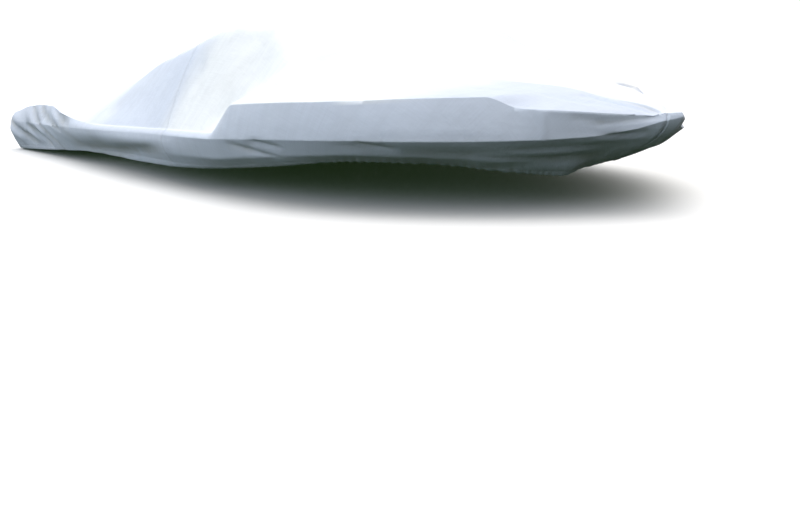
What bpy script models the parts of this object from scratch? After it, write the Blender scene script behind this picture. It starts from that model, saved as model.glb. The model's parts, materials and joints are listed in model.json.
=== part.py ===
"""Fitted boat cover: four sewn cloth panels in their draped shape, in metres.

+X is forward, +Y port, +Z up.  The origin is under the cloth at the middle of
the windscreen hoop, which holds the cover up.
"""
import bpy
import numpy as np

CLOTH = 0.002        # cloth thickness, m
SLIT = 0.0008        # each panel stops this far short of its seam line, m

# Edge of the cover, one row per section round half the gunwale from the
# transom centre to the nose.  crease = outer gunwale line, tuck = line where
# the skirt turns under, hem = lower edge.  (forward, out, up) for each, m.
SECTIONS = (
    # crease                  tuck                    hem
    (0.000, 0.000, 0.232,     0.000, 0.000, 0.120,     0.030, 0.000, 0.020),
    (0.000, 0.550, 0.222,     0.000, 0.550, 0.115,     0.030, 0.545, 0.014),
    (0.000, 0.930, 0.210,     0.000, 0.930, 0.102,     0.032, 0.900, 0.004),
    (0.006, 1.035, 0.206,     0.008, 1.030, 0.098,     0.042, 1.000, 0.001),
    (0.038, 1.088, 0.206,     0.036, 1.088, 0.098,     0.072, 1.050, 0.000),
    (0.110, 1.104, 0.206,     0.110, 1.102, 0.100,     0.140, 1.064, 0.003),
    (0.450, 1.100, 0.207,     0.450, 1.082, 0.108,     0.450, 1.054, 0.017),
    (0.900, 1.094, 0.210,     0.900, 1.060, 0.122,     0.900, 1.040, 0.038),
    (1.620, 1.090, 0.218,     1.620, 1.060, 0.140,     1.620, 1.012, 0.070),
    (2.240, 1.085, 0.228,     2.240, 1.052, 0.151,     2.240, 1.006, 0.080),
    (3.000, 1.066, 0.243,     3.000, 1.050, 0.160,     3.000, 1.006, 0.092),
    (3.450, 1.040, 0.246,     3.440, 1.010, 0.160,     3.430, 0.942, 0.110),
    (3.800, 0.998, 0.257,     3.780, 0.966, 0.184,     3.760, 0.900, 0.138),
    (4.080, 0.925, 0.264,     4.055, 0.894, 0.203,     4.010, 0.840, 0.166),
    (4.300, 0.820, 0.266,     4.266, 0.788, 0.212,     4.200, 0.744, 0.182),
    (4.470, 0.705, 0.266,     4.420, 0.655, 0.206,     4.345, 0.602, 0.179),
    (4.630, 0.560, 0.266,     4.570, 0.503, 0.200,     4.480, 0.442, 0.169),
    (4.765, 0.405, 0.268,     4.690, 0.352, 0.198,     4.592, 0.292, 0.157),
    (4.875, 0.244, 0.277,     4.785, 0.205, 0.206,     4.675, 0.175, 0.149),
    (4.955, 0.124, 0.298,     4.865, 0.100, 0.222,     4.720, 0.090, 0.154),
    (5.020, 0.050, 0.325,     4.935, 0.038, 0.242,     4.738, 0.040, 0.163),
    (5.052, 0.000, 0.336,     4.955, 0.000, 0.248,     4.742, 0.000, 0.166),
)

# Upper edge of the near-vertical side, one row per place along the boat:
# how far it stands inside the gunwale crease and above it, each side.
RIDGE = (
    # forward, starboard inset, rise, port inset, rise
    (0.00, 0.028, 0.046, 0.028, 0.050), (0.20, 0.036, 0.068, 0.038, 0.076), (0.45, 0.046, 0.105, 0.046, 0.106),
    (0.90, 0.040, 0.123, 0.048, 0.124), (1.20, 0.032, 0.114, 0.046, 0.116), (1.42, 0.014, 0.084, 0.040, 0.078),
    (1.75, 0.026, 0.042, 0.032, 0.042), (2.10, 0.028, 0.030, 0.028, 0.030), (3.05, 0.028, 0.028, 0.028, 0.028),
    (3.52, 0.028, 0.032, 0.028, 0.036), (3.60, 0.030, 0.090, 0.030, 0.090), (3.68, 0.030, 0.136, 0.030, 0.134),
    (3.90, 0.026, 0.138, 0.032, 0.138), (4.10, 0.026, 0.138, 0.040, 0.140), (4.30, 0.030, 0.143, 0.084, 0.147),
    (4.50, 0.036, 0.149, 0.185, 0.147), (4.66, 0.036, 0.150, 0.230, 0.146), (4.73, 0.020, 0.114, 0.190, 0.130),
    (4.79, 0.002, 0.100, 0.140, 0.112), (4.87, -0.006, 0.082, 0.085, 0.092), (4.95, 0.002, 0.053, 0.040, 0.058),
    (5.02, 0.010, 0.022, 0.014, 0.022), (5.05, 0.008, 0.012, 0.008, 0.012),
)

# Height of the top across the boat: the shoulder (out, up), a middle
# break (out, up), the centre line (up) and how softly the cloth turns
# over the shoulder, one row per place along it.
CROWN = (
    # forward, shoulder out, up, middle out, up, centre up, turn
    (0.03, 0.85, 0.268, 0.50, 0.276, 0.280, 0.05), (0.20, 0.84, 0.326, 0.60, 0.405, 0.470, 0.06),
    (0.36, 0.84, 0.385, 0.62, 0.485, 0.610, 0.06), (1.00, 0.91, 0.352, 0.60, 0.488, 0.625, 0.05),
    (1.25, 0.90, 0.325, 0.57, 0.475, 0.631, 0.05), (1.46, 0.83, 0.352, 0.55, 0.480, 0.638, 0.04),
    (1.69, 0.76, 0.430, 0.52, 0.502, 0.648, 0.03), (2.00, 0.73, 0.520, 0.50, 0.562, 0.664, 0.03),
    (2.35, 0.76, 0.580, 0.53, 0.625, 0.688, 0.025), (2.62, 0.780, 0.606, 0.56, 0.660, 0.705, 0.02),
    (2.85, 0.800, 0.633, 0.60, 0.698, 0.726, 0.02), (2.97, 0.790, 0.664, 0.60, 0.720, 0.738, 0.02),
    (3.08, 0.745, 0.704, 0.57, 0.738, 0.748, 0.025), (3.20, 0.715, 0.724, 0.50, 0.748, 0.755, 0.035),
    (3.28, 0.690, 0.731, 0.45, 0.750, 0.757, 0.04), (3.45, 0.715, 0.662, 0.45, 0.700, 0.716, 0.05),
    (3.68, 0.72, 0.555, 0.45, 0.602, 0.630, 0.05), (3.85, 0.72, 0.490, 0.45, 0.543, 0.572, 0.05),
    (4.05, 0.68, 0.458, 0.42, 0.497, 0.520, 0.05), (4.25, 0.58, 0.448, 0.36, 0.472, 0.488, 0.05),
    (4.45, 0.42, 0.438, 0.26, 0.453, 0.460, 0.04), (4.60, 0.30, 0.428, 0.18, 0.438, 0.443, 0.03),
    (4.73, 0.20, 0.404, 0.10, 0.414, 0.419, 0.02), (4.85, 0.15, 0.380, 0.07, 0.391, 0.396, 0.015),
    (4.94, 0.08, 0.366, 0.04, 0.379, 0.385, 0.01), (5.01, 0.03, 0.352, 0.015, 0.358, 0.360, 0.008),
    (5.04, 0.01, 0.345, 0.005, 0.347, 0.348, 0.006),
)

# How far the windscreen hoop carries the middle of the cloth forward, how far
# the weave bows on top (aft is minus), how far it leans forward from crease
# to hem, how much the skirt bellies under the crease before it tucks in, and
# how hard it folds at the tuck line (0 round, 1 sharp).
SWEEP = (
    # forward, hoop, weave bow, lean of the skirt, belly, fold at the tuck
    (0.00, 0.000, 0.00, 0.000, 0.000, 0.0), (0.60, 0.000, 0.00, 0.180, 0.003, 0.0),
    (1.00, 0.000, 0.00, 0.280, 0.000, 0.0), (1.50, 0.000, 0.00, 0.200, 0.004, 0.0),
    (2.00, 0.000, -0.05, 0.140, 0.008, 0.0), (2.50, 0.000, -0.14, 0.060, 0.013, 0.0),
    (3.08, 0.020, -0.21, 0.000, 0.006, 0.3), (3.28, 0.140, -0.12, 0.010, 0.002, 0.7),
    (3.60, 0.130, 0.00, 0.040, 0.000, 0.9), (4.20, 0.050, 0.00, 0.020, 0.000, 0.9),
    (4.80, 0.020, 0.00, 0.000, 0.000, 0.6), (4.95, 0.008, 0.00, 0.006, 0.000, 0.2),
    (5.02, 0.002, 0.00, 0.028, 0.000, 0.0), (5.05, 0.000, 0.00, 0.000, 0.000, 0.0),
)

# The forward skirt is pulled lower on starboard than on port.
SLACK = (
    # forward, starboard hem drop, starboard forward, port hem lift
    (0.00, 0.000, 0.000, 0.000), (4.20, 0.000, 0.000, 0.000), (4.55, 0.008, 0.010, 0.010), (4.72, 0.022, 0.030, 0.030),
    (4.86, 0.026, 0.030, 0.030), (4.93, 0.003, 0.014, 0.026), (5.02, 0.000, 0.000, 0.000), (5.05, 0.000, 0.000, 0.000),
)

# Folds of the skirt and quarters: side (-1 starboard, 1 port, 0 transom),
# start and end as (along the gunwale, up), half width, height (minus is
# a valley).  On the transom "along" is out to port.
SKIRT_FOLDS = (
    # side, along, up, along, up, width, height
    (-1, 0.06, 0.212, 0.34, 0.140, 0.030, -0.014), (-1, 0.26, 0.165, 0.66, 0.082, 0.026, -0.018),
    (-1, 0.02, 0.160, 0.40, 0.072, 0.034, 0.012), (-1, 0.12, 0.245, 0.56, 0.165, 0.040, 0.016),
    (-1, 0.50, 0.165, 0.84, 0.085, 0.028, 0.012), (-1, 0.56, 0.200, 1.02, 0.074, 0.024, -0.014),
    (-1, 0.50, 0.290, 0.94, 0.140, 0.028, 0.012), (-1, 0.62, 0.318, 1.20, 0.084, 0.026, -0.016),
    (-1, 0.78, 0.335, 1.24, 0.110, 0.026, 0.012), (-1, 0.84, 0.328, 1.40, 0.190, 0.022, -0.012),
    (-1, 1.22, 0.335, 1.62, 0.220, 0.034, -0.012), (-1, 1.10, 0.345, 1.38, 0.250, 0.030, 0.009),
    (-1, 1.42, 0.200, 1.80, 0.090, 0.032, -0.005), (-1, 1.95, 0.165, 2.35, 0.100, 0.040, -0.005),
    (-1, 2.30, 0.118, 3.10, 0.186, 0.028, -0.010),
    (-1, 1.46, 0.090, 2.56, 0.108, 0.034, -0.010), (-1, 3.64, 0.226, 4.02, 0.206, 0.020, -0.005),
    (-1, 3.80, 0.252, 4.00, 0.236, 0.014, -0.004), (-1, 4.22, 0.250, 4.44, 0.236, 0.016, -0.004),
    (-1, 4.44, 0.225, 4.80, 0.200, 0.020, -0.005), (-1, 4.62, 0.190, 4.90, 0.160, 0.022, 0.006),
    (-1, 4.66, 0.168, 4.94, 0.206, 0.018, -0.008), (-1, 4.84, 0.262, 5.00, 0.262, 0.014, 0.004),
    (1, 0.08, 0.215, 0.52, 0.070, 0.034, -0.011), (1, 0.30, 0.300, 0.80, 0.110, 0.034, 0.010),
    (1, 0.52, 0.310, 1.02, 0.080, 0.030, -0.010), (1, 0.90, 0.330, 1.30, 0.130, 0.032, 0.008),
    (1, 1.12, 0.330, 1.52, 0.180, 0.030, -0.010), (1, 1.90, 0.200, 2.30, 0.095, 0.045, -0.006),
    (1, 2.60, 0.190, 3.05, 0.130, 0.035, -0.005), (1, 3.70, 0.236, 4.05, 0.200, 0.024, -0.005),
    (1, 4.30, 0.250, 4.56, 0.205, 0.022, -0.005), (1, 4.62, 0.240, 4.90, 0.190, 0.026, 0.006),
    (0, -0.80, 0.210, -0.52, 0.040, 0.040, -0.011), (0, -0.42, 0.225, -0.22, 0.050, 0.045, 0.009),
    (0, 0.02, 0.220, 0.10, 0.040, 0.050, -0.009), (0, 0.36, 0.220, 0.26, 0.045, 0.040, 0.010),
    (0, 0.78, 0.215, 0.56, 0.035, 0.042, -0.012),
)

# Folds and hollows of the top: start and end (forward, out to port).
TOP_FOLDS = (
    # forward, out, forward, out, width, height
    (4.30, -0.30, 4.74, -0.19, 0.030, 0.004), (4.74, -0.158, 4.99, -0.062, 0.014, -0.013),
    (4.62, -0.33, 4.95, -0.11, 0.018, -0.005), (3.42, -0.98, 3.56, -0.90, 0.055, -0.014),
    (3.24, -0.66, 3.72, -0.88, 0.110, -0.034),
    (3.16, -0.78, 3.44, -0.70, 0.030, -0.004), (3.04, -0.84, 3.16, -0.90, 0.030, -0.008),
    (0.34, -0.62, 1.30, -0.96, 0.080, -0.012), (0.34, 0.62, 1.35, 0.94, 0.080, -0.014),
    (0.45, -0.30, 3.00, -0.42, 0.140, -0.010), (0.45, 0.34, 2.90, 0.36, 0.160, -0.013),
    (2.00, -0.95, 2.96, -0.98, 0.070, -0.008), (2.00, -0.74, 2.92, -0.79, 0.035, 0.005), (3.44, 0.96, 3.60, 0.88, 0.055, -0.014),
    (3.50, -0.20, 4.40, -0.10, 0.120, -0.006), (3.50, 0.30, 4.45, 0.12, 0.120, -0.008),
    (4.62, 0.30, 4.95, 0.09, 0.022, -0.006), (0.10, -0.50, 0.36, -0.40, 0.060, -0.010),
    (0.10, 0.36, 0.38, 0.30, 0.070, -0.012),
)

CORNER, NOSE = 4, 20                      # sections at the corners of the top
QUARTER_SEAM, CROSS_SEAM = 1.00, 3.08     # where the panels meet, forward


def smooth(xs, ys, q):
    """Monotone cubic through a short table."""
    x, y = np.asarray(xs, float), np.asarray(ys, float)
    q = np.clip(np.asarray(q, float), x[0], x[-1])
    h = np.diff(x)
    d = np.diff(y) / h
    m = np.concatenate(([d[0]], np.zeros(len(x) - 2), [d[-1]]))
    for i in range(1, len(x) - 1):
        if d[i - 1] * d[i] > 0:
            a, b = 2 * h[i] + h[i - 1], h[i] + 2 * h[i - 1]
            m[i] = (a + b) / (a / d[i - 1] + b / d[i])
    k = np.clip(np.searchsorted(x, q, side="right") - 1, 0, len(h) - 1)
    t = (q - x[k]) / h[k]
    return ((2 * t**3 - 3 * t**2 + 1) * y[k] + (t**3 - 2 * t**2 + t) * h[k] * m[k]
            + (3 * t**2 - 2 * t**3) * y[k + 1] + (t**3 - t**2) * h[k] * m[k + 1])


def column(table, c, q):
    return smooth([r[0] for r in table], [r[c] for r in table], q)


def bend(x, width):
    return 0.5 * (x + np.sqrt(x * x + width * width))


ROWS = np.array(SECTIONS)
STATION = np.concatenate(([0.0], np.cumsum(np.hypot(np.diff(ROWS[:, 0]), np.diff(ROWS[:, 1])))))
END = STATION[-1]


def edge_line(t, group):
    """Crease (0), tuck (1) or hem (2) line at station t, out taken as positive."""
    return np.stack([smooth(STATION, ROWS[:, 3 * group + k], t) for k in range(3)], -1)


def forward_of(t):
    """How far forward the crease is at station t."""
    return edge_line(t, 0)[:, 0]


def ridge_line(t, side):
    """Upper edge of the side at station t on one side of the boat."""
    p = edge_line(t, 0)
    d = edge_line(np.minimum(t + 0.004, END), 0) - edge_line(np.maximum(t - 0.004, 0), 0)
    n = np.stack([d[:, 1], -d[:, 0]], -1)
    n /= np.linalg.norm(n, axis=-1, keepdims=True)
    c = 1 if side < 0 else 3
    q = p[:, :2] + n * column(RIDGE, c, p[:, 0])[:, None]
    return np.column_stack([q[:, 0], np.maximum(q[:, 1], 0.0), p[:, 2] + column(RIDGE, c + 1, p[:, 0])])


SIDE_T = np.linspace(STATION[CORNER], STATION[NOSE], 600)
SIDE_LINE = {s: ridge_line(SIDE_T, s) for s in (-1, 1)}


def crown(x, y):
    """Height of the draped top at a place forward x, out y (port is plus)."""
    a = np.sqrt(y * y + 0.05**2)
    port = np.clip(0.5 + y / 0.1, 0, 1)

    def edge(s, k):
        st, po = [np.interp(s, SIDE_LINE[g][:, 0], SIDE_LINE[g][:, k]) for g in (-1, 1)]
        return st + (po - st) * port
    s = x + 0.0
    for _ in range(4):
        f = np.clip(a / np.maximum(edge(s, 1), 0.02), 0, 1)
        s = x - column(SWEEP, 1, s) * (1 - f**2)
    yr, zr = edge(s, 1), edge(s, 2)
    ys, zs, ym, zm, zc, w = [column(CROWN, c, s) for c in range(1, 7)]
    ys = np.minimum(ys, yr - 0.03)
    ym = np.minimum(ym, ys - 0.03)
    g0 = (zm - zc) / np.maximum(ym, 0.01)
    g1 = (zs - zm) / np.maximum(ys - ym, 0.01)
    g2 = (zr - zs) / np.maximum(yr - ys, 0.02)
    return zc + g0 * a + (g1 - g0) * bend(a - ym, 1.5 * w) + (g2 - g1) * bend(a - ys, w)


def skirt(t, side, v):
    """Skirt point: v = 0 at the crease, 1 at the hem; side per station."""
    s, v = forward_of(t), np.broadcast_to(v, t.shape)
    u = t + column(SWEEP, 3, s) * v * (t > STATION[CORNER]) * np.clip((t - STATION[CORNER]) / 0.5, 0, 1)
    a, b, c = [edge_line(u, g) for g in range(3)]
    w, k = v[:, None], column(SWEEP, 5, s)[:, None]
    p = a * (1 - w) * (1 - 2 * w) + b * 4 * w * (1 - w) + c * w * (2 * w - 1)
    p += k * (a * np.maximum(1 - 2 * w, 0) + b * (1 - np.abs(2 * w - 1)) + c * np.maximum(2 * w - 1, 0) - p)
    low = v * v
    p[:, 0] += np.where(side < 0, column(SLACK, 2, s), 0) * low
    p[:, 2] += np.where(side < 0, -column(SLACK, 1, s), column(SLACK, 3, s)) * low
    p[:, 1] += column(SWEEP, 4, s) * np.sin(2 * np.pi * v)
    p[:, 1] *= side
    return p, u


def fold_height(d, along, width):
    return np.exp(-(d / width)**2) * np.clip(4 * along * (1 - along), 0, 1)**0.6


def segment(px, py, row):
    ax, ay, bx, by = row
    dx, dy = bx - ax, by - ay
    k = np.clip(((px - ax) * dx + (py - ay) * dy) / (dx * dx + dy * dy), 0, 1)
    return np.hypot(px - ax - k * dx, py - ay - k * dy), k


def cover(side_t, across, rings):
    """Whole cover: vertices, quads, panel of each quad, cloth coordinates.

    side_t: stations from stern corner to nose corner; across: columns over
    half the top; rings: (above the crease, below it).
    """
    n, m = len(side_t) - 1, 2 * across
    tt = np.linspace(STATION[CORNER], 0, across + 1)      # transom, corner to middle
    tr = ridge_line(tt, -1)
    f = tr[:, 1] / tr[0, 1]
    f[-1] = 0.0
    tn = np.linspace(STATION[NOSE], END, 200)
    nr = ridge_line(tn, -1)
    nt = np.interp(f * nr[0, 1], nr[::-1, 1], tn[::-1])
    nx = np.interp(f * nr[0, 1], nr[::-1, 1], nr[::-1, 0]) - nr[0, 0]
    nt[0], nt[-1] = STATION[NOSE], END
    halves = []
    for side in (-1, 1):
        e = ridge_line(side_t, side)
        x = (e[:, :1] + (tr[:, 0] - tr[0, 0]) * np.exp(-(e[:, :1] - e[0, 0]) / 0.25)
             + nx * np.exp(-(e[-1, 0] - e[:, :1]) / 0.10) + column(SWEEP, 1, e[:, :1]) * (1 - f**2)
             + column(SWEEP, 2, e[:, :1]) * (1 - f**6))
        halves.append((x, side * e[:, 1:2] * f))
    x = np.concatenate([halves[0][0][:, :-1], 0.5 * (halves[0][0] + halves[1][0])[:, -1:], halves[1][0][:, -2::-1]], 1)
    y = np.concatenate([halves[0][1][:, :-1], 0 * halves[0][1][:, -1:], halves[1][1][:, -2::-1]], 1)
    top = np.stack([x, y, crown(x, y)], -1)
    ids = np.arange((n + 1) * (m + 1)).reshape(n + 1, m + 1)
    rim = np.concatenate([ids[:-1, 0], ids[-1, :-1], ids[::-1, -1][:-1], ids[0, ::-1][:-1]])
    per = np.concatenate([side_t[:-1], nt[:-1], nt[::-1][:-1], side_t[::-1][:-1], tt[:-1], tt[::-1][:-1]])
    side = np.concatenate([-np.ones(n + across), np.ones(across + n), np.ones(across), -np.ones(across)])
    verts, walk, drop = [top.reshape(-1, 3)], [np.repeat(side_t, m + 1)], [np.full(ids.size, -1.0)]
    which = [np.where(y.ravel() < 0, -1, 1)]
    base = top.reshape(-1, 3)[rim]
    crease, _ = skirt(per, side, 0.0)
    ring_ids = [rim]
    ru, rd = rings
    for k in range(1, ru + rd + 1):
        if k < ru:
            v = k / ru
            p = base * (1 - v) + crease * v
            p[:, :2] += (crease - base)[:, :2] * 0.7 * v * (1 - v)
            w, dv = per, -0.5 * (1 - v)
        else:
            dv = (k - ru) / rd
            p, w = skirt(per, side, dv)
        ring_ids.append(len(np.concatenate(verts)) + np.arange(len(per)))
        verts.append(p)
        walk.append(w + 0 * per)
        drop.append(np.full(len(per), dv))
        which.append(side)
    verts, walk, drop, which = [np.concatenate(a) for a in (verts, walk, drop, which)]
    # quads, facing out
    q = [np.stack([ids[:-1, :-1], ids[1:, :-1], ids[1:, 1:], ids[:-1, 1:]], -1).reshape(-1, 4)]
    row = np.repeat(np.arange(n), m)
    s_row = forward_of(side_t)
    label = [np.where(row >= np.searchsorted(s_row, CROSS_SEAM - 1e-6), 2,
                      np.where(row >= np.searchsorted(s_row, QUARTER_SEAM - 1e-6), 1, 0))]
    seg = np.concatenate([np.arange(n), np.full(m, -1), np.arange(n)[::-1], np.full(m, -2)])
    lab = np.where(seg == -1, 3, np.where(seg == -2, 0, np.where(seg >= np.searchsorted(s_row, CROSS_SEAM - 1e-6), 2,
                   np.where(seg >= np.searchsorted(s_row, QUARTER_SEAM - 1e-6), 1, 0))))
    for a, b in zip(ring_ids[:-1], ring_ids[1:]):
        a2, b2 = np.roll(a, -1), np.roll(b, -1)
        q.append(np.stack([b, b2, a2, a], -1))
        label.append(lab)
    q, label = np.concatenate(q), np.concatenate(label)
    verts = wrinkle(verts, q, walk, drop, which, x.size)
    return verts, q, label, walk, drop, which


def normals(v, q):
    c = np.cross(v[q[:, 2]] - v[q[:, 0]], v[q[:, 3]] - v[q[:, 1]])
    c /= np.maximum(np.linalg.norm(c, axis=1, keepdims=True), 1e-12)
    n = np.zeros_like(v)
    for k in range(4):
        np.add.at(n, q[:, k], c)
    return n / np.maximum(np.linalg.norm(n, axis=1, keepdims=True), 1e-12)


def wrinkle(v, q, walk, drop, which, tops):
    """Lift and press the cloth along the rows of the two fold tables."""
    n = normals(v, q)
    h = np.zeros(len(v))
    is_top = np.arange(len(v)) < tops
    side_forward = forward_of(SIDE_T)
    inset = np.interp(walk, SIDE_T, SIDE_LINE[-1][:, 1]) - np.abs(v[:, 1])
    near = np.where(is_top, np.exp(-(np.maximum(inset, 0) / 0.12)**2), 1.0)
    transom = (walk < STATION[CORNER]) & ~is_top
    for s, a0, z0, a1, z1, w, d in SKIRT_FOLDS:
        if s == 0:
            dist, k = segment(which * walk, v[:, 2], (a0, z0, a1, z1))
            h += np.where(transom, d * fold_height(dist, k, w), 0)
        else:
            t0, t1 = np.interp((a0, a1), side_forward, SIDE_T)
            dist, k = segment(walk, v[:, 2], (t0, z0, t1, z1))
            h += np.where(which == s, d * near * fold_height(dist, k, w), 0)
    crest = np.where(is_top, 1.0, np.clip(-drop * 2, 0, 1))
    for a0, b0, a1, b1, w, d in TOP_FOLDS:
        dist, k = segment(v[:, 0], v[:, 1], (a0, b0, a1, b1))
        h += d * crest * fold_height(dist, k, w)
    return v + n * h[:, None]


ORIGIN = (3.42, 0.0, 0.752)     # under the cloth at the middle of the windscreen hoop
NAMES = ("transom_panel", "aft_panel", "main_panel", "bow_panel")
COLOURS = ((0.80, 0.82, 0.84), (0.84, 0.86, 0.88), (0.88, 0.89, 0.91), (0.76, 0.78, 0.81))
SPACING = (                     # how close the side stations stand, by place
    # forward, spacing
    (0.0, 0.050), (0.3, 0.056), (1.5, 0.066), (2.0, 0.130), (2.9, 0.130), (3.5, 0.070), (3.9, 0.110),
    (4.4, 0.075), (5.05, 0.042),
)


def stations():
    """Side stations, closer at the quarters and the bow, one on each seam."""
    t = [STATION[CORNER]]
    while t[-1] < STATION[NOSE]:
        t.append(t[-1] + float(column(SPACING, 1, forward_of(np.array(t[-1:]))[0])))
    t = np.array(t)
    t = STATION[CORNER] + (t - t[0]) * (STATION[NOSE] - STATION[CORNER]) / (t[-1] - t[0])
    for seam in (QUARTER_SEAM, CROSS_SEAM):
        k = int(np.argmin(np.abs(forward_of(t) - seam)))
        t[k] = np.interp(seam, forward_of(SIDE_T), SIDE_T)
    return t


def panel_mesh(verts, quads, n, seam):
    """Close one panel: outer face, inner face and the cut edges."""
    used, flat = np.unique(quads, return_inverse=True)
    q = flat.reshape(quads.shape)
    v = verts[used].copy()
    on_seam = seam[used]
    edges, beside = {}, {}
    pull = np.zeros_like(v)
    for face in q:
        middle = v[face].mean(0)
        for a, b in zip(face, np.roll(face, -1)):
            pull[a] += middle - v[a]
            if (b, a) in edges:
                del edges[(b, a)]
            else:
                edges[(a, b)] = True
    for a, b in edges:
        if on_seam[a] and on_seam[b]:
            beside.setdefault(a, []).append(b)
            beside.setdefault(b, []).append(a)
    for g in np.flatnonzero(on_seam):
        d, along = pull[g], beside.get(g, [])
        if len(along) == 2:
            e, f = v[along[0]] - v[g], v[along[1]] - v[g]
            if np.dot(e, f) < -0.5 * np.linalg.norm(e) * np.linalg.norm(f):
                line = (e - f) / np.linalg.norm(e - f)
                d = d - np.dot(d, line) * line
        elif len(along) == 1:
            line = (v[along[0]] - v[g]) / np.linalg.norm(v[along[0]] - v[g])
            d = d - np.dot(d, line) * line
        v[g] += d / np.linalg.norm(d) * SLIT
    inner = v - n[used] * CLOTH
    # each quad is cut across its shorter diagonal, the same one on both faces
    a, b, c, d = q.T
    short = np.linalg.norm(v[a] - v[c], axis=1) < np.linalg.norm(v[b] - v[d], axis=1)
    outer = np.concatenate((np.stack((a, b, np.where(short, c, d)), -1), np.stack((np.where(short, a, b), c, d), -1)))
    m = len(v)
    rim = np.array([(b, a, a + m, b + m) for a, b in edges])
    rim = np.concatenate((rim[:, :3], rim[:, [0, 2, 3]]))
    return np.concatenate((v, inner)), np.concatenate((outer, outer[:, ::-1] + m, rim)).tolist()


for old in list(bpy.data.objects):
    bpy.data.objects.remove(old, do_unlink=True)

verts, quads, panel, _, _, _ = cover(stations(), 6, (3, 4))
verts -= np.array(ORIGIN)
facing = normals(verts, quads)
shared = sum((np.bincount(np.unique(quads[panel == k]), minlength=len(verts)) for k in range(4))) > 1
for number, name in enumerate(NAMES):
    points, faces = panel_mesh(verts, quads[panel == number], facing, shared)
    mesh = bpy.data.meshes.new(name)
    mesh.from_pydata(points.tolist(), [], faces)
    cloth = bpy.data.materials.new(name + "_cloth")
    cloth.use_nodes = True
    shader = cloth.node_tree.nodes["Principled BSDF"]
    shader.inputs["Base Color"].default_value = (*COLOURS[number], 1.0)
    shader.inputs["Roughness"].default_value = 0.85
    mesh.materials.append(cloth)
    bpy.context.scene.collection.objects.link(bpy.data.objects.new(name, mesh))
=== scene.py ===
"""Fitted canvas cover for an open trailer boat, drawn over its gunwales, rails
and windscreen hoop: four sewn panels, lapped seams, a corded hem and stitching.

+X is forward, +Y port and +Z up, in metres.  The origin is under the cloth at
the middle of the windscreen hoop.
"""
import json
import math
from functools import lru_cache
from types import SimpleNamespace

import bpy
import numpy as np
from bpy.props import FloatProperty, FloatVectorProperty, PointerProperty
from bpy.types import Operator, Panel, PropertyGroup
from mathutils import Matrix, Vector

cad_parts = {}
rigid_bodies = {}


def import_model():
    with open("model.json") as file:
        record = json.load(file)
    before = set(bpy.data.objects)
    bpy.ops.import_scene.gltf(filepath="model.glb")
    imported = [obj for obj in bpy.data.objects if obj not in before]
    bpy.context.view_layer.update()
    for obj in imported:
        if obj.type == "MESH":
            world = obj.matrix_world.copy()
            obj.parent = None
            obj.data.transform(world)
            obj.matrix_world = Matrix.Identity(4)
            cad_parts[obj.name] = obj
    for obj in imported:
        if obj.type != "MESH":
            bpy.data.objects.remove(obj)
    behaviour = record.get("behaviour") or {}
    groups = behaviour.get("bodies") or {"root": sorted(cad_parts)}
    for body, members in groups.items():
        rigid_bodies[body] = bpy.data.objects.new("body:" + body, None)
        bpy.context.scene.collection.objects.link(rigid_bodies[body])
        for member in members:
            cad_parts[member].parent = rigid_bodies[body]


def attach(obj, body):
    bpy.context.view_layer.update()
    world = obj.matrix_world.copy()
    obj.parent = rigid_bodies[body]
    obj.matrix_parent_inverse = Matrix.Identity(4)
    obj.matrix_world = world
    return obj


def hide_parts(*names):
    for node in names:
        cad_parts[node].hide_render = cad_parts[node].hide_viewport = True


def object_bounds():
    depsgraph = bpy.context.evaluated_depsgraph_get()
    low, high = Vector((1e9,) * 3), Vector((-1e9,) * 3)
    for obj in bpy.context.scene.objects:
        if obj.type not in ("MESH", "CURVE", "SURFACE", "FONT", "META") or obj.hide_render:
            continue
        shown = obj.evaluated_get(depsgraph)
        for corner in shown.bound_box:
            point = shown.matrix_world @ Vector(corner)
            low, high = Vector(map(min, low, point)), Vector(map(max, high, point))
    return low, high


bl_info = {
    "name": "Boat cover",
    "version": (1, 0, 0),
    "blender": (4, 5, 0),
    "location": "View3D > Sidebar > Boat cover",
    "description": "Draped canvas panels, seams, hem and stitching of a fitted boat cover",
    "category": "Object",
}

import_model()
CAD_BOX = [list(corner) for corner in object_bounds()]
PANELS = (
    # frame node, cut, area of the cut, colour factor: painted shade below 1, painted light above 1
    ("transom_panel", (3.05, 1.7), 3.8, 0.88), ("aft_panel", (3.1, 2.25), 5.7, 1.0),
    ("main_panel", (3.05, 2.45), 5.3, 1.0), ("bow_panel", (0.2, 0.28), 0.034, 1.12),
)
ORIGIN = np.array((3.42, 0.0, 0.752))      # of the tables below: transom, keel line, lowest hem

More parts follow.
